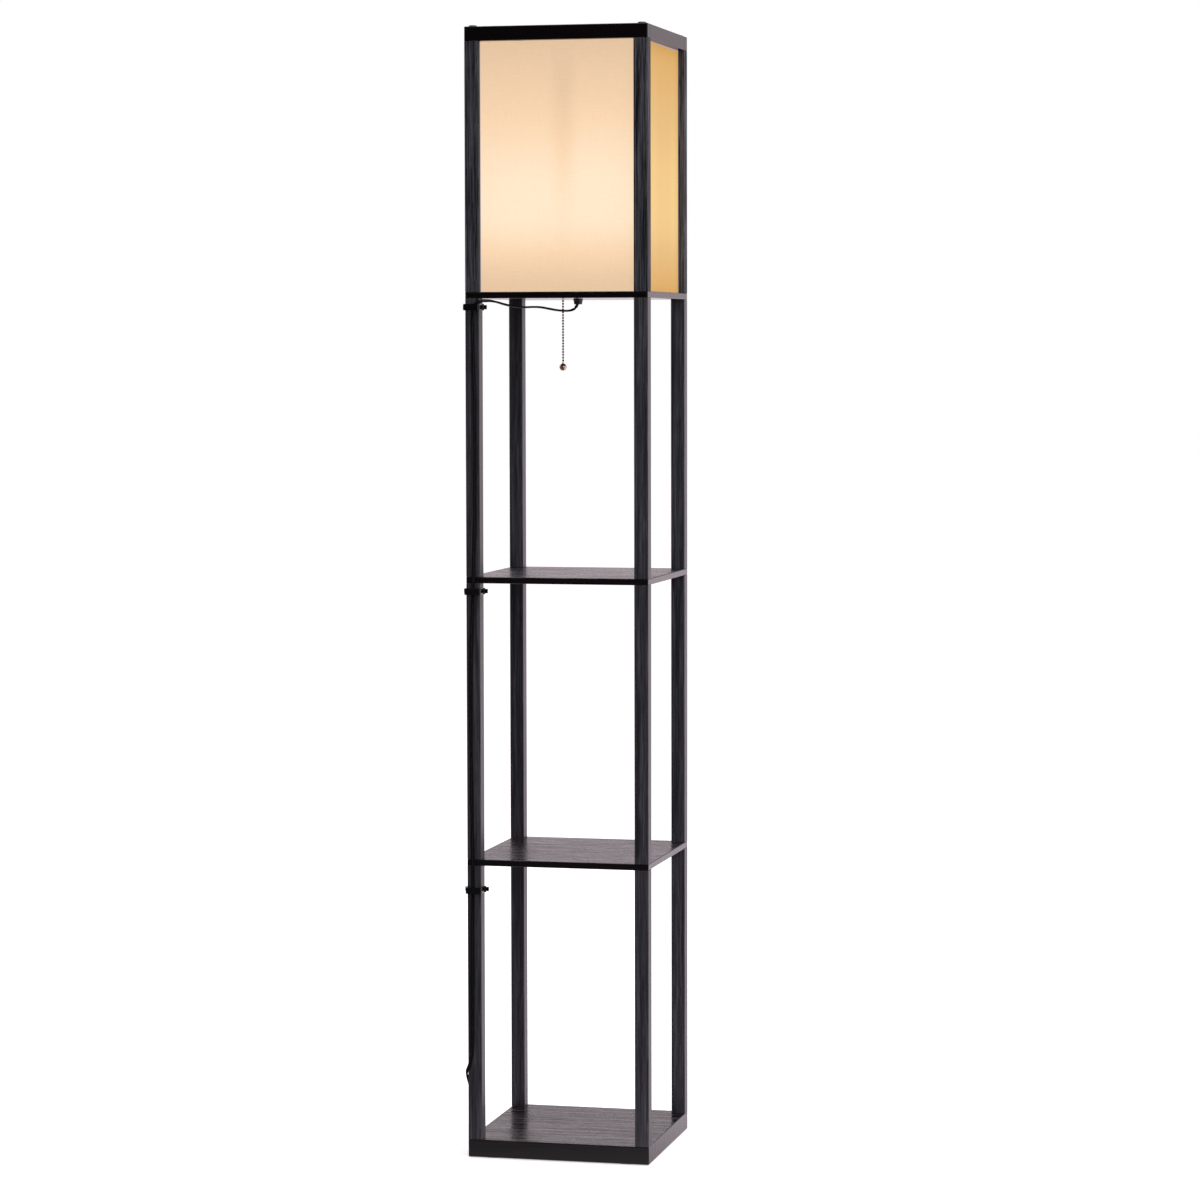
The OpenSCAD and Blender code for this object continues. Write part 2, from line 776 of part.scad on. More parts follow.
// The cord's way from the bushing to the hank: places, and the way that its flat side faces.
// It swags to the front left post, comes down in the clips and lies round to the back.
run_points = [
    [0, 0, 1206], [0, 0, 1203], [-0.6, -0.8, 1198.4], [-2.4, -3.2, 1193.6], [-5.4, -7.2, 1190.3],
    [-9.4, -12.4, 1188.7], [-15, -20, 1188.4], [-23, -30.8, 1189.2], [-32, -42.7, 1191.2],
    [-41, -54.5, 1193.2], [-49, -65, 1193.5], [-57, -75.5, 1193.1], [-65, -86.5, 1193.4],
    [-73, -97.3, 1194.9], [-81, -108, 1197.4], [-88, -117.2, 1200], [-94.7, -125, 1201.6],
    [-99.5, -128.6, 1201.8], [-103.6, -130.5, 1201.8], [-107.5, -131.6, 1201.2], [-111, -132, 1199.8],
    [-114, -132.1, 1197.5], [-116.6, -132, 1194.1], [-118.2, -131.9, 1189.8], [-118.7, -131.8, 1184],
    [-118.6, -131.7, 1174], [-117.5, -131.7, 1130], [-116, -131.7, 1060], [-115.5, -131.7, 980],
    [-116.5, -131.7, 900], [-118.5, -131.7, 840], [-119.5, -131.7, 797], [-121, -131.7, 750],
    [-122.5, -131.7, 680], [-123, -131.7, 580], [-122, -131.7, 480], [-121, -131.7, 420],
    [-121, -131.7, 378], [-121.8, -131.7, 330], [-122.4, -131.7, 270], [-122.6, -131.7, 215],
    [-122.6, -131.7, 180], [-122.9, -131.8, 160], [-124.2, -131.9, 145], [-126.4, -132, 134.5],
    [-129, -132.2, 127.5], [-131, -131.4, 123.3], [-132.1, -129.5, 119.5], [-132.3, -126, 114.5],
    [-132.3, -120, 107], [-132.4, -112, 97.5], [-132.7, -101, 85], [-133.3, -88, 70.5],
    [-134.2, -73, 54.5], [-135.2, -57, 39], [-136.2, -40, 25], [-137.2, -22, 13.5], [-138, -3, 6],
    [-138.6, 16, 2.7], [-138.9, 36, 1.9], [-139, 52, 2.2], [-139, 68, 2.8], [-139, 86, 3.1],
    [-139, 102, 3], [-139, 120, 2.6], [-137.4, 128.6, 2.6], [-132.8, 136, 2.6], [-126, 141.4, 2.6],
    [-117, 143.6, 2.6], [-100, 144, 2.6], [-75, 144, 2.6]
];
run_faces = [
    [-6, -8, 0], [-6, -8, 0], [-6, -8, -2], [-5, -7, -5], [-4, -5, -8], [-2, -3, -9], [0, 0, -1],
    [0, 0, -1], [0, 0, -1], [0, 0, -1], [0, 0, -1], [0, 0, -1], [0, 0, -1], [0, 0, -1], [0, 0, -1],
    [0, 2, -9], [0, 4, -8], [1, 6, -6], [1, 8, -4], [1, 9, -2], [0, 1, 0], [0, 1, 0], [0, 1, 0],
    [0, 1, 0], [0, 1, 0], [0, 1, 0], [0, 1, 0], [0, 1, 0], [0, 1, 0], [0, 1, 0], [0, 1, 0], [0, 1, 0],
    [0, 1, 0], [0, 1, 0], [0, 1, 0], [0, 1, 0], [0, 1, 0], [0, 1, 0], [0, 1, 0], [0, 1, 0], [0, 1, 0],
    [0, 1, 0], [0, 1, 0], [0, 1, 0], [0, 1, 0], [2, 9, 0], [6, 7, 1], [9, 4, 1], [9, 1, 0], [9, 1, 1],
    [9, 2, 1], [9, 3, 2], [7, 5, 4], [5, 6, 6], [3, 6, 7], [1, 5, 8], [0, 4, 9], [0, 3, 9], [0, 1, 9],
    [0, 0, 1], [2, 0, 9], [5, 0, 8], [8, 0, 5], [9, 0, 2], [1, 0, 0], [9, -4, 0], [7, -7, 0], [4, -9, 0],
    [0, -1, 0], [0, -1, 0], [0, -1, 0]
];

// The hank: four loops in two layers, drawn in at the waist where the tie holds them
hank_at = [0, 164];
hank_half_l = 50;
hank_waist = 3.5;
hank_swell = 24.5;
hank_turns = 4;
loop_rings = 24;
loop_pitch = 4.3;
// Turns until the spiral reverses, in the middle of a run, and the part of a turn it climbs in
hank_reverse = 2.145;
hank_climb = 0.2;
layer_pitch = cord_w + 0.5;
tie_t = 0.8;

// The innermost loop and its outward direction at an angle
function loop_at(a) = [hank_half_l * cos(a), (hank_waist + hank_swell * pow(cos(a), 2)) * sin(a)];
function loop_out(a) = let (d = unit(loop_at(a + 0.5) - loop_at(a - 0.5))) [d[1], -d[0]];

// Where a loop runs along X, so that the cord joins it straight
hank_angle = 180 + asin(sqrt((hank_waist + hank_swell) / (3 * hank_swell)));
// How far out the loop lies after u turns, and how far up it has climbed
function loop_step(u) = loop_pitch * abs(hank_reverse - u);
function loop_climb(u) =
    let (k = min(1, max(0, (u - hank_reverse) / hank_climb + 0.5))) layer_pitch * (0.5 - 0.5 * cos(180 * k));
function hank_point(u) =
    let (a = hank_angle + 360 * u, q = loop_at(a) + loop_out(a) * loop_step(u), lift = tie_t * pow(sin(a), 4))
    [hank_at[0] + q[0], hank_at[1] + q[1], cord_w / 2 + 0.1 + lift + loop_climb(u)];
function hank_face(u) = let (o = loop_out(hank_angle + 360 * u)) [-o[0], -o[1], 0];

hank_us = [for (i = [0:hank_turns * loop_rings]) i / loop_rings];
// A straight length of cord at each end of the hank, and of what joins it
straight_end = [cord_w, 0, 0];
hank_start = hank_point(0) - straight_end;
hank_end = hank_point(hank_turns) + straight_end;
hank_points = concat([hank_start], [for (u = hank_us) hank_point(u)], [hank_end]);
hank_faces = concat([[0, 1, 0]], [for (u = hank_us) hank_face(u)], [[0, 1, 0]]);

// The least gap between one loop and another, measured on the tube's rings
function off_line(p, a, b) =
    let (t = min(1, max(0, (p - a) * (b - a) / ((b - a) * (b - a))))) p - (a + t * (b - a));
function gap_between(d) = max(norm([d[0], d[1]]) - cord_t, abs(d[2]) - cord_w);
hank_gap = min([for (i = [0:len(hank_us) - 1]) for (j = [i + 6:len(hank_us) - 2])
    gap_between(off_line(hank_points[i + 1], hank_points[j + 1], hank_points[j + 2]))]);
echo(hank_gap_mm = hank_gap);

// The cord's last stretch, over the hank's front to the plug
plug_x = 64;
plug_y = 142.5;
tail_points = [
    [-20, 143.6, 7.8], [0, 142.8, 7.4], [20, 142.2, 7.2], [38, 142.1, 7], [50, 142.4, 6.3],
    [58, 142.5, 6]
];
tail_faces = [
    [0, 1, 0], [0, 1, 0], [0, 9, 4], [0, 6, 7], [0, 2, 9], [0, 0, 1], [0, 0, 1], [0, 0, 1],
    [0, 0, 1]
];

cord_dark = [0.05, 0.05, 0.05];
run_section = cord_section(8, cord_w, cord_t);

module lead_in() {
    color(cord_dark)
        flat_tube([[0, 0, nipple_top + 2], [0, 0, floor_z + 1]], [run_faces[0], run_faces[0]], run_section);
}

module cord_run() {
    color(cord_dark)
        flat_tube(concat(run_points, [hank_start - straight_end, hank_start]),
            concat(run_faces, [[0, -1, 0], [0, -1, 0]]), run_section);
}

module cord_hank() {
    color(cord_dark) flat_tube(hank_points, hank_faces, cord_section(6, cord_w, cord_t));
}

module cord_tail() {
    color(cord_dark)
        flat_tube(concat([hank_end, hank_end + straight_end], tail_points, [[plug_x, plug_y, plug_t / 2]]),
            tail_faces, run_section);
}

// A soft strap round the hank's waist
module hank_tie() {
    tie_w = 10;
    tie_gap = 0.6;
    front = hank_waist + 2 * loop_pitch + cord_t / 2 + tie_gap;
    back = hank_waist + 1.5 * loop_pitch + cord_t / 2 + tie_gap;
    h = cord_w + layer_pitch + 1.5 * tie_gap;
    color([0.1, 0.1, 0.1])
        translate([hank_at[0] - tie_w / 2, hank_at[1], 0]) rotate([90, 0, 90]) linear_extrude(tie_w)
            difference() {
                translate([-front - tie_t, 0]) square([front + back + 2 * tie_t, h + 2 * tie_t]);
                translate([-front, tie_t]) square([front + back, h]);
            }
}

// Plug

// Half the plug's outline, from its narrow back to its face
function plug_side() = concat(
    [for (a = [0:22.5:180])
        [plug_taper_l * a / 180, plug_back_w / 2 + (plug_w - plug_back_w) / 4 * (1 - cos(a))]],
    [[plug_l - 1, plug_w / 2], [plug_l, plug_w / 2 - 1]]
);

plug_back_w = 13;
plug_taper_l = 17;
plug_ease = 2.5;
sleeve_ribs = 4;
rib_t = 1.6;

module plug_body() {
    side = plug_side();
    sleeve = [cord_w + 2.4, cord_t + 2.4];
    color(cord_dark)
        translate([plug_x, plug_y, 0]) {
            intersection() {
                translate([sleeve_l, 0, 0]) linear_extrude(plug_t)
                    polygon(concat(side, reversed([for (p = side) [p[0], -p[1]]])));
                translate([sleeve_l - cut, 0, plug_t / 2]) rotate([90, 0, 90])
                    linear_extrude(plug_l + 2 * cut) eased_rect(plug_w, plug_t, plug_ease);
            }
            translate([0, 0, plug_t / 2]) rotate([90, 0, 90]) {
                linear_extrude(sleeve_l + cut) eased_rect(sleeve[0], sleeve[1], rib_t);
                for (i = [1:sleeve_ribs]) translate([0, 0, i * sleeve_l / (sleeve_ribs + 0.6) - 1])
                    linear_extrude(rib_t) eased_rect(sleeve[0] + 0.8 + 0.7 * i, sleeve[1] + 0.8 + 0.7 * i, 2);
            }
        }
}

blade_t = 1.5;
blade_w = 6.3;
blade_hole_d = 3;
blade_hole_in = 4;

module plug_blades() {
    tip = 1;
    color("goldenrod")
        for (s = [-1, 1])
            translate([plug_x + sleeve_l + plug_l, plug_y + s * blade_gap / 2 + blade_t / 2, plug_t / 2])
                rotate([90, 0, 0]) linear_extrude(blade_t)
                    difference() {
                        polygon([
                            [0, -blade_w / 2], [blade_l - 2 * tip, -blade_w / 2], [blade_l, tip - blade_w / 2],
                            [blade_l, blade_w / 2 - tip], [blade_l - 2 * tip, blade_w / 2], [0, blade_w / 2]
                        ]);
                        translate([blade_l - blade_hole_in, 0]) circle(d = blade_hole_d);
                    }
}

foot_pads();
base_board();
base_bolts();
for (t = [0:2]) for (c = CORNERS)
    tier_post(c, tier_z[t]);
lower_shelf();
upper_shelf();
lamp_floor();
studs(shelf_z[0]);  // lower_studs
studs(shelf_z[1]);  // middle_studs
studs(shelf_z[2]);  // upper_studs
for (c = CORNERS)
    lamp_post(c);
for (s = SIDES)
    shade_panel(s);
for (s = SIDES)
    cap_rail(s);
cap_bolts();
threaded_inserts();
cord_clips();
nipple();
nipple_nut();
nipple_washer();
cord_bushing();
lead_in();
socket_cap();
socket_shell();
socket_liner();
switch_body();
screw_shell();
centre_contact();
chain_guide();
bulb_base();
bulb_glass();
chain_upper();
chain_middle();
chain_lower();
chain_ball();
cord_run();
cord_hank();
cord_tail();
hank_tie();
plug_body();
plug_blades();
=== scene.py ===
# %% [markdown]
# # A bookshelf floor lamp
#
# This lesson dresses a finished model of a floor lamp: a slim square tower of
# four black posts with three open bays, and a lamp box with glowing panels on
# top. The model's parts come in as a fixed frame. The lesson gives each part
# its finish, makes the soft and small pieces anew, and sets up the picture.
# Everything is in metres, Z is up and the front of the lamp faces -Y.

# %% The frame
import json
import math

import bmesh
import bpy
from mathutils import Matrix, Vector, noise


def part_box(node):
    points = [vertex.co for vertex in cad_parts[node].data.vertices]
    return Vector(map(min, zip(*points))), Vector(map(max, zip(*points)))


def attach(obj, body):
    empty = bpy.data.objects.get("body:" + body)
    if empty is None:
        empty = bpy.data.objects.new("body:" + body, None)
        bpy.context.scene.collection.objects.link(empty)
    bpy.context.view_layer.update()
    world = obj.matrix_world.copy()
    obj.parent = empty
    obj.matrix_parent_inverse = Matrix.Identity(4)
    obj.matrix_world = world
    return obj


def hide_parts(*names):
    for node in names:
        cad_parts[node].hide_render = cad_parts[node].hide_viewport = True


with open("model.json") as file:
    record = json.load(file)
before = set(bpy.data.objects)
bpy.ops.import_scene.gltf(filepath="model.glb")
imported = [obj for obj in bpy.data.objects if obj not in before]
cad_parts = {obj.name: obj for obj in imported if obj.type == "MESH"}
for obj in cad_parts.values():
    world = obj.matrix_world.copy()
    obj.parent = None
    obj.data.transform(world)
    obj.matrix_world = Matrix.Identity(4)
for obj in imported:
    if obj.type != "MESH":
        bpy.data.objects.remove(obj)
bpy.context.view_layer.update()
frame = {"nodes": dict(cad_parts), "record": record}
NODES = frame["nodes"]
MM = 0.001


# %% [markdown]
# ## The camera
#
# The lamp is seen from a little to the right of its front, from chest height,
# with a long lens. A studio would use a view camera with its lens shifted
# down, so that upright lines stay upright. Here a plain camera stands a little
# further off and tips down by three and a half degrees. Upright lines lean by
# less than a fifth of a degree, and the whole lamp also stays in the frame
# when the same camera is walked round it.

# %% Camera
EYE = (1.28339, -5.29460, 1.14139)
TURN, TIP, ROLL = [math.radians(a) for a in (13.308, 86.55, -0.111)]
camera_data = bpy.data.cameras.new("camera")
camera_data.lens = 115.374
camera_data.sensor_width = 36
camera_data.shift_y = -0.02
camera_data.clip_end = 100
camera = bpy.data.objects.new("camera", camera_data)
turned = Matrix.Rotation(TURN, 4, "Z") @ Matrix.Rotation(TIP, 4, "X")
camera.matrix_world = Matrix.Translation(EYE) @ turned @ Matrix.Rotation(ROLL, 4, "Z")
bpy.context.scene.collection.objects.link(camera)
bpy.context.scene.camera = camera
print("lens:", camera_data.lens)

# %% [markdown]
# ## Colours and nodes
#
# Colours are written as they look on a screen, and one function turns them to
# the linear values that light adds up in. Another adds a node to a material
# with its settings and links, so that each finish below reads as a short list.

# %% Colours and nodes


def linear(code):
    """A screen colour such as "#26242a" as linear light, by the sRGB rule."""
    parts = [int(code[i:i + 2], 16) / 255 for i in (1, 3, 5)]
    lit = [c / 12.92 if c <= 0.04045 else ((c + 0.055) / 1.055) ** 2.4 for c in parts]
    return (*lit, 1.0)


def add(tree, kind, inputs=None, **settings):
    """Adds a node. Inputs are values, or sockets of other nodes to link."""
    node = tree.nodes.new(kind)
    for name, value in settings.items():
        setattr(node, name, value)
    for name, value in (inputs or {}).items():
        if isinstance(value, bpy.types.NodeSocket):
            tree.links.new(value, node.inputs[name])
        else:
            node.inputs[name].default_value = value
    return node


def finish(name, **shader):
    """A new material, its node tree and its main shader with some values set."""
    material = bpy.data.materials.new(name)
    material.use_nodes = True
    tree = material.node_tree
    main = tree.nodes["Principled BSDF"]
    for socket, value in shader.items():
        main.inputs[socket.replace("_", " ")].default_value = value
    return material, tree, main


def ramp(tree, factor, stops):
    """A colour ramp through (place, colour) stops."""
    node = add(tree, "ShaderNodeValToRGB", {"Fac": factor})
    while len(node.color_ramp.elements) < len(stops):
        node.color_ramp.elements.new(1.0)
    for element, (place, colour) in zip(node.color_ramp.elements, stops):
        element.position = place
        element.color = colour
    return node.outputs["Color"]


def grey(v):
    """A grey of linear value v."""
    return (v, v, v, 1.0)


print("black wood:", [round(c, 4) for c in linear("#26242a")])

# %% [markdown]
# ## The mains cord's route
#
# The cord is a black flat twin, 5 mm wide and 3 mm thick. It leaves a bushing
# under the lamp box, swags to the front left post, goes down through three
# clips and lies round the base to the back, where its spare length is a tied
# hank with the plug beside it. The route repeats the model's own points, so
# the cord lies just where the solid one does.

# %% Route
CORD_W, CORD_T = 5 * MM, 3 * MM
# From inside the bushing to the hank, in millimetres
RUN = [
    (0, 0, 1206), (0, 0, 1203), (-0.6, -0.8, 1198.4), (-2.4, -3.2, 1193.6), (-5.4, -7.2, 1190.3),
    (-9.4, -12.4, 1188.7), (-15, -20, 1188.4), (-23, -30.8, 1189.2), (-32, -42.7, 1191.2),
    (-41, -54.5, 1193.2), (-49, -65, 1193.5), (-57, -75.5, 1193.1), (-65, -86.5, 1193.4),
    (-73, -97.3, 1194.9), (-81, -108, 1197.4), (-88, -117.2, 1200), (-94.7, -125, 1201.6),
    (-99.5, -128.6, 1201.8), (-103.6, -130.5, 1201.8), (-107.5, -131.6, 1201.2), (-111, -132, 1199.8),
    (-114, -132.1, 1197.5), (-116.6, -132, 1194.1), (-118.2, -131.9, 1189.8), (-118.7, -131.8, 1184),
    (-118.6, -131.7, 1174), (-117.5, -131.7, 1130), (-116, -131.7, 1060), (-115.5, -131.7, 980),
    (-116.5, -131.7, 900), (-118.5, -131.7, 840), (-119.5, -131.7, 797), (-121, -131.7, 750),
    (-122.5, -131.7, 680), (-123, -131.7, 580), (-122, -131.7, 480), (-121, -131.7, 420),
    (-121, -131.7, 378), (-121.8, -131.7, 330), (-122.4, -131.7, 270), (-122.6, -131.7, 215),
    (-122.6, -131.7, 180), (-122.9, -131.8, 160), (-124.2, -131.9, 145), (-126.4, -132, 134.5),
    (-129, -132.2, 127.5), (-131, -131.4, 123.3), (-132.1, -129.5, 119.5), (-132.3, -126, 114.5),
    (-132.3, -120, 107), (-132.4, -112, 97.5), (-132.7, -101, 85), (-133.3, -88, 70.5),
    (-134.2, -73, 54.5), (-135.2, -57, 39), (-136.2, -40, 25), (-137.2, -22, 13.5), (-138, -3, 6),
    (-138.6, 16, 2.7), (-138.9, 36, 1.9), (-139, 52, 2.2), (-139, 68, 2.8), (-139, 86, 3.1),
    (-139, 102, 3), (-139, 120, 2.6), (-137.4, 128.6, 2.6), (-132.8, 136, 2.6), (-126, 141.4, 2.6),
    (-117, 143.6, 2.6), (-100, 144, 2.6), (-75, 144, 2.6),
]
# The way that the cord's flat side faces at each of these points
RUN_FACES = [
    (-6, -8, 0), (-6, -8, 0), (-6, -8, -2), (-5, -7, -5), (-4, -5, -8), (-2, -3, -9), (0, 0, -1),
    (0, 0, -1), (0, 0, -1), (0, 0, -1), (0, 0, -1), (0, 0, -1), (0, 0, -1), (0, 0, -1), (0, 0, -1),
    (0, 2, -9), (0, 4, -8), (1, 6, -6), (1, 8, -4), (1, 9, -2), *[(0, 1, 0)] * 25,
    (2, 9, 0), (6, 7, 1), (9, 4, 1), (9, 1, 0), (9, 1, 1), (9, 2, 1), (9, 3, 2), (7, 5, 4), (5, 6, 6),
    (3, 6, 7), (1, 5, 8), (0, 4, 9), (0, 3, 9), (0, 1, 9), (0, 0, 1), (2, 0, 9), (5, 0, 8), (8, 0, 5),
    (9, 0, 2), (1, 0, 0), (9, -4, 0), (7, -7, 0), (4, -9, 0), (0, -1, 0), (0, -1, 0), (0, -1, 0),
]
# From the hank to the plug
TAIL = [
    (-20, 143.6, 7.8), (0, 142.8, 7.4), (20, 142.2, 7.2), (38, 142.1, 7), (50, 142.4, 6.3),
    (58, 142.5, 6), (64, 142.5, 6),
]
TAIL_FACES = [(0, 9, 4), (0, 6, 7), (0, 2, 9), *[(0, 0, 1)] * 4]

# The hank: four loops in two layers, drawn in at the waist where the tie holds them. In millimetres.
HALF_L, WAIST, SWELL = 50, 3.5, 24.5
TURNS, RINGS = 4, 24  # loops, and stations in each
PITCH = 4.3  # from one loop to the next outside it
CLIMB_AT, CLIMB = 2.145, 0.2  # where the cord climbs to the upper layer, and how long, in turns
# Its place, its lower layer's height, the step up to the upper one, and the rise under the tie
HANK_Y, LOWER_Z, LAYER, HUMP = 164, 2.6, 5.5, 0.8
# The angle at which a loop runs level with X, so that the cord comes in straight
START = 180 + math.degrees(math.asin(math.sqrt((WAIST + SWELL) / (3 * SWELL))))


def loop_at(a):
    """The innermost loop's place at an angle in degrees."""
    a = math.radians(a)
    return Vector((HALF_L * math.cos(a), (WAIST + SWELL * math.cos(a) ** 2) * math.sin(a), 0))


def loop_out(a):
    """The outward direction there."""
    d = (loop_at(a + 0.5) - loop_at(a - 0.5)).normalized()
    return Vector((d.y, -d.x, 0))


def hank_point(u):
    """The cord's place after u turns of the hank."""
    a = START + 360 * u
    q = loop_at(a) + loop_out(a) * PITCH * abs(CLIMB_AT - u)
    k = min(1, max(0, (u - CLIMB_AT) / CLIMB + 0.5))
    lift = HUMP * math.sin(math.radians(a)) ** 4 + LAYER * (0.5 - 0.5 * math.cos(math.pi * k))
    return Vector((q.x, HANK_Y + q.y, LOWER_Z + lift))


turns = [i / RINGS for i in range(TURNS * RINGS + 1)]
hank = [hank_point(u) for u in turns]
straight = Vector((5, 0, 0))
route = [Vector(p) for p in RUN] + [hank[0] - 2 * straight, hank[0] - straight]
faces = [Vector(f) for f in RUN_FACES] + [Vector((0, -1, 0))] * 2
route += hank + [hank[-1] + straight, hank[-1] + 2 * straight] + [Vector(p) for p in TAIL]
faces += [-loop_out(START + 360 * u) for u in turns]
faces += [Vector((0, 1, 0)), Vector((0, 1, 0))] + [Vector(f) for f in TAIL_FACES]
# Both flat sides are alike, so a face that points the other way is turned round, and the cord
# doesn't twist
for i in range(1, len(faces)):
    if faces[i].dot(faces[i - 1]) < 0:
        faces[i] = -faces[i]
route = [p * MM for p in route]

# %% [markdown]
# ## Drawing a section along a route
#
# A cord could be a curve with a bevel, but a flat cord has to turn on its own
# axis as it goes from lying flat to standing on edge, and a curve's tilt is
# hard to steer. So its section, two round cores side by side with a groove
# between them, is drawn once, and then extruded from station to station and
# set across the route at each. A short smoothing step between the given
# points keeps the bends round.

# %% Sections and sweeps
TINY = 1e-9  # keeps a division safe where two points are one


def between(points, steps):
    """Points with a smooth curve through them, steps pieces to each span."""
    out = []
    for i in range(len(points) - 1):
        a, b = points[i], points[i + 1]
        before = points[i - 1] if i else a + (a - b)
        after = points[i + 2] if i + 2 < len(points) else b + (b - a)
        ta = (b - before) * ((b - a).length / max((b - before).length, TINY))
        tb = (after - a) * ((b - a).length / max((after - a).length, TINY))
        for k in range(steps):
            t = k / steps
            out.append((2 * t ** 3 - 3 * t ** 2 + 1) * a + (t ** 3 - 2 * t ** 2 + t) * ta
                       + (3 * t ** 2 - 2 * t ** 3) * b + (t ** 3 - t ** 2) * tb)
    return out + [points[-1]]


def twin_section(bm, width, thick, sides=10):
    """The outline of a flat twin cord, whose two cores overlap, as a closed ring of edges in XY."""
    core = thick / 2
    off = width / 2 - core
    ring = []
    for s in (1, -1):
        reach = math.acos(off / core)
        for i in range(sides):
            a = -math.pi + reach + (2 * math.pi - 2 * reach) * i / (sides - 1)
            ring.append(bm.verts.new((s * (off + core * math.cos(a)), s * core * math.sin(a), 0)))
    return [bm.edges.new((a, b)) for a, b in zip(ring, ring[1:] + ring[:1])]


def sweep(bm, ring, points, ways):
    """Extrudes a ring of edges along points, its Y axis facing the given ways, and closes both ends."""
    last = None
    for i, p in enumerate(points):
        along = (points[min(i + 1, len(points) - 1)] - points[max(i - 1, 0)]).normalized()
        up = (ways[i] - along * ways[i].dot(along)).normalized()
        side = up.cross(along)
        place = Matrix((side, up, along)).transposed().to_4x4()
        place.translation = p
        if last is not None:
            grown = bmesh.ops.extrude_edge_only(bm, edges=ring)["geom"]
            ring = [g for g in grown if isinstance(g, bmesh.types.BMEdge)]
        verts = list({v for e in ring for v in e.verts})
        bmesh.ops.transform(bm, matrix=place @ last.inverted() if last else place, verts=verts)
        last = place
    bmesh.ops.holes_fill(bm, edges=[e for e in bm.edges if e.is_boundary], sides=0)


def piece(name, bm, material, replaces, smooth=True, body="tower"):
    """Turns a bmesh into a named piece that rides on a body and stands for parts of the model."""
    bmesh.ops.recalc_face_normals(bm, faces=bm.faces)
    mesh = bpy.data.meshes.new(name)
    bm.to_mesh(mesh)
    bm.free()
    for f in mesh.polygons:
        f.use_smooth = smooth
    mesh.materials.append(material)
    obj = bpy.data.objects.new(name, mesh)
    bpy.context.scene.collection.objects.link(obj)
    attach(obj, body)
    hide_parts(*replaces)
    return obj


# %% [markdown]
# ## Black PVC, on the cord
#
# The cord's sheath is extruded PVC, drawn off a die, so it is smooth with a
# faint orange peel. What that gives the eye is a soft long highlight, not a
# mirror, on a black that is a little blue.

# %% PVC
pvc, tree, main = finish("extruded black PVC", Roughness=0.45, IOR=1.3)
main.inputs["Base Color"].default_value = linear("#070507")
where = add(tree, "ShaderNodeTexCoord").outputs["Object"]
peel = add(tree, "ShaderNodeTexNoise", {"Vector": where, "Scale": 1 / (1.5 * MM), "Detail": 2.0})
bump = add(tree, "ShaderNodeBump", {"Height": peel.outputs["Fac"], "Strength": 0.25,
                                    "Distance": 0.1 * MM})
tree.links.new(bump.outputs["Normal"], main.inputs["Normal"])

# %% The cord and its inner end
bm = bmesh.new()
STEPS = 3  # pieces between one given point and the next
line_points = between(route, STEPS)
ways = between(faces, STEPS)
sweep(bm, twin_section(bm, CORD_W, CORD_T), line_points, ways)
mains_cord = piece("mains_cord", bm, pvc,
                   replaces=("cord_run", "cord_hank", "cord_tail"))

bm = bmesh.new()
low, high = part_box("lead_in")
inner = [Vector((0, 0, high.z)), Vector((0, 0, low.z))]
sweep(bm, twin_section(bm, CORD_W, CORD_T), inner, [Vector((-6, -8, 0))] * 2)
piece("cord_lead", bm, pvc, replaces=("lead_in",))
print("cord:", len(mains_cord.data.polygons), "faces")

# %% [markdown]
# ## Black-stained ash, on the posts and boards
#
# The wood is faced with ash veneer, stained black and lacquered thinly, so
# that the open grain still shows. That gives the eye a near-black with narrow
# paler threads along the grain and broader dull and bright bands where the
# year rings run. The lamp box's posts are left rough, so they hardly shine.
# The lower posts and the boards have more lacquer: seen at a low angle they
# mirror the room, and the bands break the mirror up. A texture that is made
# of noise stretched along the grain fits every board without a seam, which
# an unwrapped picture wouldn't. Threads are 1.3 to 1.6 mm across on the posts
# and 5 mm on the boards, whose veneer is cut flatter and shows broader grain.

# %% Ash


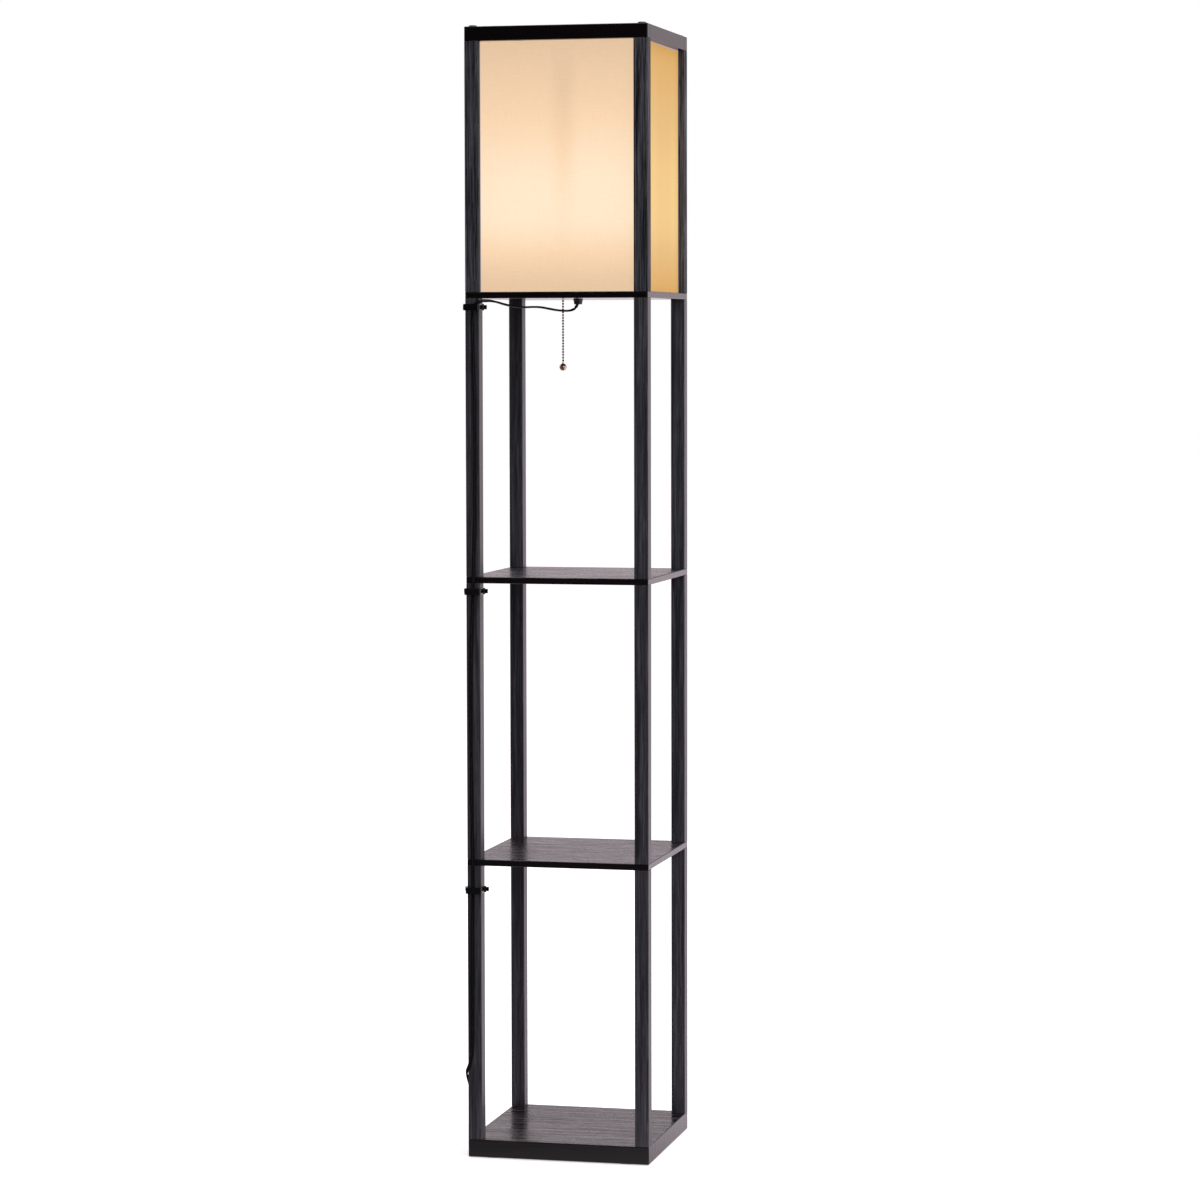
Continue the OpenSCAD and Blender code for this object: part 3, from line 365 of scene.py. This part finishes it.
def black_ash(name, along, dark, pale, rough, thread_mm, ring_mm, rings, depth_mm, shine, run_mm,
              sealed=False):
    """Black-stained ash whose grain runs along an axis: 0, 1 or 2 for X, Y or Z.

    Threads and year rings are as wide as thread_mm and ring_mm, a thread is run_mm long, and rings
    is the rings' share in the pattern. Sealed edges show hardly any grain.
    """
    material, tree, main = finish(name, IOR=1.5, Specular_IOR_Level=shine)
    where = add(tree, "ShaderNodeTexCoord").outputs["Object"]
    # The grain wanders sideways over 60 mm, and less where its threads are long
    wander = add(tree, "ShaderNodeTexNoise", {"Vector": where, "Scale": 1 / (60 * MM), "Detail": 2.0})
    centred = add(tree, "ShaderNodeVectorMath", {0: wander.outputs["Color"], 1: (0.5, 0.5, 0.5)},
                  operation="SUBTRACT")
    sway = (450 * MM / run_mm,) * 3
    bent = add(tree, "ShaderNodeVectorMath", {0: centred.outputs[0], 1: sway, 2: where},
               operation="MULTIPLY_ADD")

    def stretched(across, length, low, high):
        """Noise that is drawn out along the grain, from 0 to 1."""
        size = [1 / (across * MM)] * 3
        size[along] = 1 / (length * MM)
        local = add(tree, "ShaderNodeMapping", {"Vector": bent.outputs[0], "Scale": size}).outputs[0]
        drawn = add(tree, "ShaderNodeTexNoise", {"Vector": local, "Scale": 1.0, "Detail": 3.0,
                                                 "Roughness": 0.6})
        return add(tree, "ShaderNodeMapRange", {"Value": drawn.outputs["Fac"], "From Min": low,
                                                "From Max": high}).outputs[0]

    thread = stretched(thread_mm, run_mm, 0.42, 0.7)
    ring = stretched(ring_mm, 170, 0.36, 0.64)
    # Threads are fainter, down to 0.4, where a ring is dark
    held = add(tree, "ShaderNodeMath", {0: ring, 1: 0.6, 2: 0.4}, operation="MULTIPLY_ADD").outputs[0]
    fine = add(tree, "ShaderNodeMath", {0: thread, 1: held}, operation="MULTIPLY").outputs[0]
    grain = add(tree, "ShaderNodeMix", {0: rings, 2: fine, 3: ring}, data_type="FLOAT").outputs[0]
    if sealed:
        normal = add(tree, "ShaderNodeNewGeometry").outputs["Normal"]
        upward = add(tree, "ShaderNodeSeparateXYZ", {"Vector": normal}).outputs["Z"]
        open_grain = add(tree, "ShaderNodeMapRange", {"Value": upward, "From Min": 0.2, "From Max": 0.9,
                                                      "To Min": 0.12}).outputs[0]
        grain = add(tree, "ShaderNodeMath", {0: grain, 1: open_grain}, operation="MULTIPLY").outputs[0]
    stain = ramp(tree, grain, [(0.0, linear(dark)), (0.8, linear(pale))])
    tree.links.new(stain, main.inputs["Base Color"])
    gloss = add(tree, "ShaderNodeMapRange", {"Value": grain, "To Min": rough, "To Max": rough + 0.3})
    tree.links.new(gloss.outputs[0], main.inputs["Roughness"])
    bump = add(tree, "ShaderNodeBump", {"Height": grain, "Strength": 0.8, "Distance": depth_mm * MM})
    tree.links.new(bump.outputs["Normal"], main.inputs["Normal"])
    return material


ash_rough = black_ash(
    "black-stained ash, brushed, upright", 2, "#0d0e12", "#70727a", rough=0.6, thread_mm=1.3,
    ring_mm=1.8, rings=0.45, depth_mm=0.15, shine=0.03, run_mm=110)
ash_posts = black_ash(
    "black-stained ash, lacquered, upright", 2, "#2b2b30", "#67686f", rough=0.3, thread_mm=1.6,
    ring_mm=4, rings=0.25, depth_mm=0.06, shine=0.42, run_mm=110)
ash_boards = black_ash(
    "black-stained ash, lacquered boards", 0, "#050305", "#2c272b", rough=0.12, thread_mm=5, ring_mm=9,
    rings=0.5, depth_mm=2.0, shine=0.56, run_mm=45, sealed=True)
print("ash finishes:", ash_rough.name, "|", ash_posts.name, "|", ash_boards.name)

# %% [markdown]
# ## Smooth black lacquer, on the cap
#
# The cap's rails show no grain from the front: they are wrapped in a smooth
# black satin film. A little more sheen than the boards, no threads, and the
# faint waviness of a film over board is what tells it from plain black paint.

# %% Cap
cap_film, tree, main = finish("smooth black satin film", Roughness=0.24, IOR=1.3)
main.inputs["Base Color"].default_value = linear("#100b0f")
where = add(tree, "ShaderNodeTexCoord").outputs["Object"]
wave = add(tree, "ShaderNodeTexNoise", {"Vector": where, "Scale": 1 / (6 * MM), "Detail": 2.0})
bump = add(tree, "ShaderNodeBump", {"Height": wave.outputs["Fac"], "Strength": 0.15,
                                    "Distance": 0.1 * MM})
tree.links.new(bump.outputs["Normal"], main.inputs["Normal"])

# %% [markdown]
# ## Linen laminate, on the glowing panels
#
# Each panel is a stiff clear sheet with a linen-look film on it. Lit from
# inside it glows cream, brightest round the bulb and duller in the corners,
# with soft upright bands, all painted light in the panel's own place, as an
# even film would show it, so it is the same from everywhere. The sides are a
# painted deeper gold, which is how the glow looks at a low angle. A thin grey
# strip along the edges has no glow. The weave is 0.9 mm a thread.

# %% Panels
shade, tree, main = finish("linen laminate", Roughness=0.7, IOR=1.49, Specular_IOR_Level=0.2)
where = add(tree, "ShaderNodeTexCoord").outputs["Object"]
facing = add(tree, "ShaderNodeNewGeometry").outputs["Normal"]
flat = add(tree, "ShaderNodeVectorMath", {0: facing}, operation="ABSOLUTE").outputs[0]
on_side = add(tree, "ShaderNodeSeparateXYZ", {"Vector": flat}).outputs["X"]
place = add(tree, "ShaderNodeSeparateXYZ", {"Vector": where})


def glow_spot(centre, reach):
    """A soft patch of light: 1 at its centre, 0 at its reach in millimetres. 0 reaches for ever."""
    size = [1 / (r * MM) if r else 0.0 for r in reach]
    move = [-c * MM * s for c, s in zip(centre, size)]
    local = add(tree, "ShaderNodeMapping", {"Vector": where, "Location": move,
                                            "Scale": size}).outputs[0]
    away = add(tree, "ShaderNodeVectorMath", {0: local}, operation="LENGTH").outputs["Value"]
    return add(tree, "ShaderNodeMapRange", {"Value": away, "To Min": 1.0, "To Max": 0.0},
               interpolation_type="SMOOTHSTEP").outputs[0]


def summed(*parts):
    """The sum of sockets and numbers, each with its weight."""
    total = None
    for socket, weight in parts:
        total = add(tree, "ShaderNodeMath", {0: socket, 1: weight, 2: total or 0.0},
                    operation="MULTIPLY_ADD").outputs[0]
    return total


def weave_noise(scale):
    """Noise that is drawn out into threads, from its scale along X, Y and Z in turns a metre."""
    local = add(tree, "ShaderNodeMapping", {"Vector": where, "Scale": scale}).outputs[0]
    return add(tree, "ShaderNodeTexNoise", {"Vector": local, "Scale": 1.0}).outputs["Fac"]


# Painted light round the bulb, painted shade at the bottom, and painted bands brighter or duller than
# the rest
rise = glow_spot((0, 0, 1338), (0, 0, 240))
fall = glow_spot((0, 0, 1210), (0, 0, 110))
front = summed((rise, 0.9), (fall, -0.5), (glow_spot((-50, 0, 1338), (85, 0, 130)), 0.12),
               (glow_spot((48, 0, 1362), (85, 0, 150)), 0.12),
               (glow_spot((9, 0, 1450), (26, 0, 210)), -0.26))
side = summed((rise, 0.85), (fall, -0.45), (glow_spot((0, -50, 1375), (0, 45, 260)), 0.12),
              (glow_spot((0, 78, 1375), (0, 40, 260)), 0.14))
# The sides' deeper gold is painted: it is how the glow looks at a low angle, given to the panel itself
CREAM, LOW_ANGLE_GOLD = ("#e2c2a0", "#f5d3ae", "#fee6c8"), ("#c69540", "#d1a860", "#e2bc74")
front_tone, side_tone = [ramp(tree, level, [(0.5 * i, linear(code)) for i, code in enumerate(codes)])
                         for level, codes in ((front, CREAM), (side, LOW_ANGLE_GOLD))]
glow = add(tree, "ShaderNodeMix", {0: on_side, 6: front_tone, 7: side_tone},
           data_type="RGBA").outputs[2]
# A lilac-grey strip without glow: 0.7 mm at both upright edges, and 2 mm under the cap on the two sides
GLOW_HALF_W, GLOW_TOP = 109.3 * MM, 1558 * MM
far_x, far_y = [add(tree, "ShaderNodeMath", {0: place.outputs[a]}, operation="ABSOLUTE").outputs[0]
                for a in "XY"]
off_middle = add(tree, "ShaderNodeMix", {0: on_side, 2: far_x, 3: far_y}, data_type="FLOAT").outputs[0]
edge = add(tree, "ShaderNodeMath", {0: off_middle, 1: GLOW_HALF_W}, operation="GREATER_THAN").outputs[0]
high = add(tree, "ShaderNodeMath", {0: place.outputs["Z"], 1: GLOW_TOP},
           operation="GREATER_THAN").outputs[0]
high_side = add(tree, "ShaderNodeMath", {0: high, 1: on_side}, operation="MULTIPLY").outputs[0]
margin = add(tree, "ShaderNodeMath", {0: edge, 1: high_side}, operation="MAXIMUM").outputs[0]
tone = add(tree, "ShaderNodeMix", {0: margin, 6: glow, 7: linear("#a59dab")},
           data_type="RGBA").outputs[2]
THREADS, RUNS = 1100, 60  # turns a metre: across a thread, one each 0.9 mm, and along it
weave = summed((weave_noise((RUNS, RUNS, THREADS)), 0.5), (weave_noise((THREADS, THREADS, RUNS)), 0.5))
threads = add(tree, "ShaderNodeMapRange", {"Value": weave, "From Min": 0.3, "From Max": 0.7,
                                           "To Min": 0.95, "To Max": 1.05}).outputs[0]
woven = add(tree, "ShaderNodeVectorMath", {0: tone, 1: threads}, operation="MULTIPLY").outputs[0]
tree.links.new(woven, main.inputs["Emission Color"])
main.inputs["Emission Strength"].default_value = 0.98
main.inputs["Base Color"].default_value = linear("#6e614f")
bump = add(tree, "ShaderNodeBump", {"Height": weave, "Strength": 0.2, "Distance": 0.1 * MM})
tree.links.new(bump.outputs["Normal"], main.inputs["Normal"])
print("panel glow:", len(tree.nodes), "nodes")

# %% [markdown]
# ## Metals and plastics of the small parts
#
# Metals keep the default IOR and get their colour from the metal itself.
# Plating is smooth with a faint unevenness, the chain is made of steel beads
# with a thin copper wash, and the clips are moulded in gloss black.

# %% Small parts


def worked(name, colour, metallic, rough, grain_mm, depth, **more):
    """A finish with the fine unevenness of how it was made, in roughness and in height."""
    material, tree, main = finish(name, Metallic=metallic, **more)
    main.inputs["Base Color"].default_value = linear(colour)
    where = add(tree, "ShaderNodeTexCoord").outputs["Object"]
    fine = add(tree, "ShaderNodeTexNoise", {"Vector": where, "Scale": 1 / (grain_mm * MM),
                                            "Detail": 3.0})
    gloss = add(tree, "ShaderNodeMapRange", {"Value": fine.outputs["Fac"], "To Min": rough * 0.75,
                                             "To Max": rough * 1.25})
    tree.links.new(gloss.outputs[0], main.inputs["Roughness"])
    bump = add(tree, "ShaderNodeBump", {"Height": fine.outputs["Fac"], "Strength": depth,
                                        "Distance": 0.1 * MM})
    tree.links.new(bump.outputs["Normal"], main.inputs["Normal"])
    return material


FINISHES = {
    "felt": worked("pressed wool felt", "#1d1c1e", 0.0, 0.95, 0.4, 0.9),
    "black_steel": worked("black oxide steel", "#121214", 0.6, 0.35, 0.6, 0.2),
    "zinc_steel": worked("bright zinc plate", "#c3c4c6", 1.0, 0.32, 0.5, 0.15),
    "brass": worked("turned brass", "#d8b468", 1.0, 0.25, 0.4, 0.15),
    "brassed_shell": worked("brass-plated shell", "#cfae6e", 1.0, 0.3, 1.2, 0.15),
    "card": worked("pressed card", "#7b5a3a", 0.0, 0.8, 0.8, 0.5),
    "phenolic": worked("moulded phenolic", "#2a1710", 0.0, 0.35, 1.5, 0.1, IOR=1.6),
    "bulb_metal": worked("drawn aluminium", "#c9cacb", 1.0, 0.3, 0.6, 0.15),
    "chain_metal": worked("copper-washed steel beads", "#9a5a48", 1.0, 0.3, 0.5, 0.1),
    "antique_brass": worked("polished antique brass", "#e6d0bc", 1.0, 0.12, 1.5, 0.05),
    "black_gloss_plastic": worked("gloss black polypropylene", "#0b0b0d", 0.0, 0.14, 2.5, 0.06,
                                  IOR=1.49),
    "black_cord": pvc,
    "black_wood": ash_posts,
    "black_cap": cap_film,
    "shade": shade,
    "strap": worked("woven nylon hook and loop", "#19191b", 0.0, 0.8, 0.7, 0.8),
}
nylon = worked("moulded grey-black nylon", "#434146", 0.0, 0.3, 2.0, 0.08, IOR=1.53)
bulb, tree, main = finish("frosted glass bulb", Roughness=0.5, IOR=1.5)
main.inputs["Base Color"].default_value = linear("#fff4e0")
main.inputs["Emission Color"].default_value = linear("#ffe2b0")
main.inputs["Emission Strength"].default_value = 2.5
FINISHES["bulb_glass"] = bulb

# %% Finishes on the parts
slots = {row["node"]: row["material_slot"] for row in frame["record"]["subparts"]}
for name, node in NODES.items():
    chosen = FINISHES[slots[name]]
    if "board" in name or "shelf" in name or name == "lamp_floor":
        chosen = ash_boards
    elif name.startswith("lamp_post"):
        chosen = ash_rough
    elif name == "cord_bushing":
        chosen = nylon
    node.data.materials.clear()
    node.data.materials.append(chosen)
print("finishes:", len({node.data.materials[0].name for node in NODES.values()}))

# %% [markdown]
# ## Eased edges, on the wood and the moulded parts
#
# No real edge is a knife edge. Veneered boards are sanded over along their
# arrises, and a moulded clip leaves its tool with small rounds. The finished
# model's edges are sharp, so each of these parts is redrawn from its own
# solid: the solid's loose triangles are merged and its flat faces made whole,
# and then the long outer edges are bevelled. A Bevel modifier on the part
# itself would find only loose triangles, with no edge to round.

# %% Easing
ONE_POINT, FLAT, SHARP = 0.002 * MM, math.radians(0.5), math.radians(25)


def eased(name, node, width_mm, shortest_mm):
    """A copy of a part, which stands for it, with its long sharp outer edges rounded by a width."""
    bm = bmesh.new()
    bm.from_mesh(NODES[node].data)
    bmesh.ops.remove_doubles(bm, verts=bm.verts, dist=ONE_POINT)
    bmesh.ops.dissolve_limit(bm, angle_limit=FLAT, verts=bm.verts, edges=bm.edges)
    sharp = [e for e in bm.edges if e.is_manifold and e.is_convex and e.calc_face_angle() > SHARP
             and e.calc_length() > shortest_mm * MM]
    bmesh.ops.bevel(bm, geom=sharp, offset=width_mm * MM, affect="EDGES", segments=3, profile=0.5,
                    material=-1, clamp_overlap=True)
    open_edges = sum(not e.is_manifold for e in bm.edges)
    made = piece(name, bm, NODES[node].data.materials[0], smooth=False,
                 replaces=(node,))
    return made, len(sharp), open_edges


# How far each part's edges are rounded, in millimetres
EASED = {name: 0.25 for name in NODES if "_post_" in name}
EASED.update({name: 0.5 for name in ("base_board", "lower_shelf", "upper_shelf", "lamp_floor")})
EASED.update({name: 0.6 for name in NODES if name.startswith("cap_rail")})
MOULDED = {"cord_clips": 0.3, "plug_body": 0.5}
EASED.update(MOULDED)
dressed = {}
for node, width in EASED.items():
    shortest = 1.4 if node in MOULDED else 4
    dressed[node], edges, open_edges = eased(node + "_eased", node, width, shortest)
    print(node, "edges eased:", edges, "open:", open_edges)

# %% [markdown]
# ## Felt feet
#
# Four square pads of pressed felt keep the base off the floor. Punched felt
# has soft corners and a face that is never flat. A plain slab would do for
# strength, but here each pad's corners and rims are rounded and its faces
# lifted and lowered a little at random, as wool does.

# %% Felt pads
bm = bmesh.new()
low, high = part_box("foot_pads")
PAD, PAD_IN = 16 * MM, 96 * MM  # a pad's side, and how far its middle is from the lamp's own
CORNER, RIM = 2.5 * MM, 0.25 * MM
WOOL, TUFTS = 0.09 * MM, 900  # how far a face sinks, and how often in a metre
middle = (low.z + high.z) / 2
thick = high.z - low.z
for sx in (-1, 1):
    for sy in (-1, 1):
        centre = Vector((sx * PAD_IN, sy * (high.y - PAD / 2), middle))
        place = Matrix.Translation(centre) @ Matrix.Diagonal((PAD, PAD, thick, 1))
        pad = bmesh.ops.create_cube(bm, size=1.0, matrix=place)
        edges = {e for v in pad["verts"] for e in v.link_edges}
        upright = [e for e in edges if abs(e.verts[0].co.z - e.verts[1].co.z) > 0.5 * thick]
        bmesh.ops.bevel(bm, geom=upright, offset=CORNER, affect="EDGES", segments=5, profile=0.5,
                        material=-1)
rims = [e for e in bm.edges if e.calc_face_angle(0) > math.radians(80)]
bmesh.ops.bevel(bm, geom=rims, offset=RIM, affect="EDGES", segments=2, profile=0.5, material=-1)
bmesh.ops.poke(bm, faces=[f for f in bm.faces if abs(f.normal.z) > 0.9])
long_edges = [e for e in bm.edges if e.calc_length() > 3 * MM]
bmesh.ops.subdivide_edges(bm, edges=long_edges, cuts=3, use_grid_fill=True)
for v in bm.verts:
    inward = WOOL * max(0, 1 + noise.noise(v.co * TUFTS))
    v.co.z -= math.copysign(inward, v.co.z - middle)
felt_pads = piece("felt_pads", bm, FINISHES["felt"], replaces=("foot_pads",))
print("pads:", len(felt_pads.data.polygons), "faces")

# %% [markdown]
# ## The hook and loop tie
#
# The spare cord is kept in its hank by a woven strap that goes once round and
# closes on itself. It is drawn as what it is, a flat band with a thick woven
# rim along each side, led round the hank and over its own start.

# %% Strap
bm = bmesh.new()
# The band's section, 10 mm wide and 0.7 mm thick at its rims
rim = [(5, 0.0), (4.9, 0.3), (4.3, 0.35), (3.9, 0.24), (0, 0.22), (-3.9, 0.24), (-4.3, 0.35),
       (-4.9, 0.3), (-5, 0.0), (-4.9, -0.3), (-4.3, -0.35), (-3.9, -0.24), (0, -0.22), (3.9, -0.24),
       (4.3, -0.35), (4.9, -0.3)]
ring = [bm.verts.new((x * MM, y * MM, 0)) for x, y in rim]
ring = [bm.edges.new((a, b)) for a, b in zip(ring, ring[1:] + ring[:1])]
low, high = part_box("hank_tie")
# The band's middle line runs just inside the solid tie, with room on top for the overlap
y0, y1, z0, z1 = low.y + 0.4 * MM, high.y - 0.4 * MM, low.z + 0.4 * MM, high.z - 1.1 * MM
R = 3 * MM
round_corners = []
for cy, cz, start in ((y1 - R, z1 - R, 90), (y1 - R, z0 + R, 0), (y0 + R, z0 + R, -90),
                      (y0 + R, z1 - R, 180)):
    for k in range(7):
        a = math.radians(start - 15 * k)
        way = Vector((0, math.cos(a), math.sin(a)))
        round_corners.append((Vector((0, cy + R * math.cos(a), cz + R * math.sin(a))), way))
# Shares of the way across the hank, and how far above its own start the band's end lies there
FIRST = [(0.3, 0), (0.45, 0), (0.6, 0), (0.75, 0)]
LAST = [(0.16, 0), (0.22, 0.25), (0.28, 0.62), (0.33, 0.74), (0.5, 0.74), (0.68, 0.74), (0.75, 0.74)]
first, last = [[(Vector((0, y0 + (y1 - y0) * t, z1 + lift * MM)), Vector((0, 0, 1)))
                for t, lift in part] for part in (FIRST, LAST)]
strap_path = first + round_corners + last
sweep(bm, ring, [p for p, _ in strap_path], [w for _, w in strap_path])
hank_strap = piece("hank_strap", bm, FINISHES["strap"], smooth=False,
                   replaces=("hank_tie",))
print("strap:", len(hank_strap.data.polygons), "faces")

# %% [markdown]

# %% [markdown]
# ## The room
#
# The lamp stands on a white floor that runs into a white room. The room is
# bright on the right and behind and dark in front, so the faces turned to the
# camera stay dark and the faces seen at a low angle pick up the bright room.
# A large light hangs above the lamp, and a weaker one stands to its right on
# the camera's side.

# %% Floor, light and room
bm = bmesh.new()
bmesh.ops.create_circle(bm, cap_ends=True, segments=96, radius=30)
mesh = bpy.data.meshes.new("floor")
bm.to_mesh(mesh)
bm.free()
floor = bpy.data.objects.new("floor", mesh)
bpy.context.scene.collection.objects.link(floor)
# The camera sees a white floor. What the lamp mirrors of it is bright behind the lamp and dark in
# front, as a dark cloth on the camera's side of the set would make it.
paint, tree, main = finish("pale floor paint", Roughness=0.7, Specular_IOR_Level=0.1)
main.inputs["Base Color"].default_value = grey(0.9)
main.inputs["Emission Color"].default_value = grey(1.0)
where = add(tree, "ShaderNodeTexCoord").outputs["Object"]
# Close to the lamp the floor gives off less of its own and shows the lights more, so that a contact
# shadow can be seen
far_off = add(tree, "ShaderNodeVectorMath", {0: where}, operation="LENGTH").outputs["Value"]
own = add(tree, "ShaderNodeMapRange", {"Value": far_off, "From Min": 0.3, "From Max": 2.2,
                                       "To Min": 0.46, "To Max": 0.56})
tree.links.new(own.outputs[0], main.inputs["Emission Strength"])
behind = add(tree, "ShaderNodeVectorMath", {0: where, 1: (0.45, 0.89, 0)}, operation="DOT_PRODUCT")
share = add(tree, "ShaderNodeMapRange", {"Value": behind.outputs["Value"], "From Min": -0.5,
                                         "From Max": 0.4, "To Min": 0.1, "To Max": 1.0})
tinted = add(tree, "ShaderNodeEmission", {"Color": linear("#fff1f8"), "Strength": share.outputs[0]})
seen = add(tree, "ShaderNodeLightPath").outputs["Is Camera Ray"]
both = add(tree, "ShaderNodeMixShader", {0: seen, 1: tinted.outputs[0], 2: main.outputs[0]})
tree.links.new(both.outputs[0], tree.nodes["Material Output"].inputs["Surface"])
mesh.materials.append(paint)

# The room is white to the camera too, and a little pink to the lamp
world = bpy.data.worlds.new("room")
bpy.context.scene.world = world
world.use_nodes = True
tree = world.node_tree
tree.nodes.clear()
way = add(tree, "ShaderNodeTexCoord").outputs["Generated"]
BRIGHT_WAY = Vector((0.4, 0.75, 0.4)).normalized()
toward = add(tree, "ShaderNodeVectorMath", {0: way, 1: BRIGHT_WAY}, operation="DOT_PRODUCT")
share = add(tree, "ShaderNodeMapRange", {"Value": toward.outputs["Value"], "From Min": -0.7,
                                         "From Max": 0.55, "To Min": 0.03, "To Max": 0.8})
seen = add(tree, "ShaderNodeLightPath").outputs["Is Camera Ray"]
level = add(tree, "ShaderNodeMix", {0: seen, 2: share.outputs[0], 3: 1.0},
            data_type="FLOAT").outputs[0]
tint = add(tree, "ShaderNodeMix", {0: seen, 6: linear("#fff1f8"), 7: grey(1.0)},
           data_type="RGBA").outputs[2]
back = add(tree, "ShaderNodeBackground", {"Color": tint, "Strength": level})
add(tree, "ShaderNodeOutputWorld", {"Surface": back.outputs[0]})


def soft_light(name, place, aim, size, power):
    """A large square light at a place, aimed at a point."""
    data = bpy.data.lights.new(name, "AREA")
    data.size = size
    data.energy = power
    lamp = bpy.data.objects.new(name, data)
    turned = (Vector(aim) - Vector(place)).to_track_quat("-Z", "Y").to_matrix().to_4x4()
    lamp.matrix_world = Matrix.Translation(place) @ turned
    bpy.context.scene.collection.objects.link(lamp)


soft_light("top light", (0.6, 0.2, 4.2), (0, 0, 0.4), 3.0, 160)
soft_light("right light", (2.6, -3.2, 2.2), (0, 0, 0.9), 2.4, 24)
bpy.context.scene.view_settings.view_transform = "Standard"
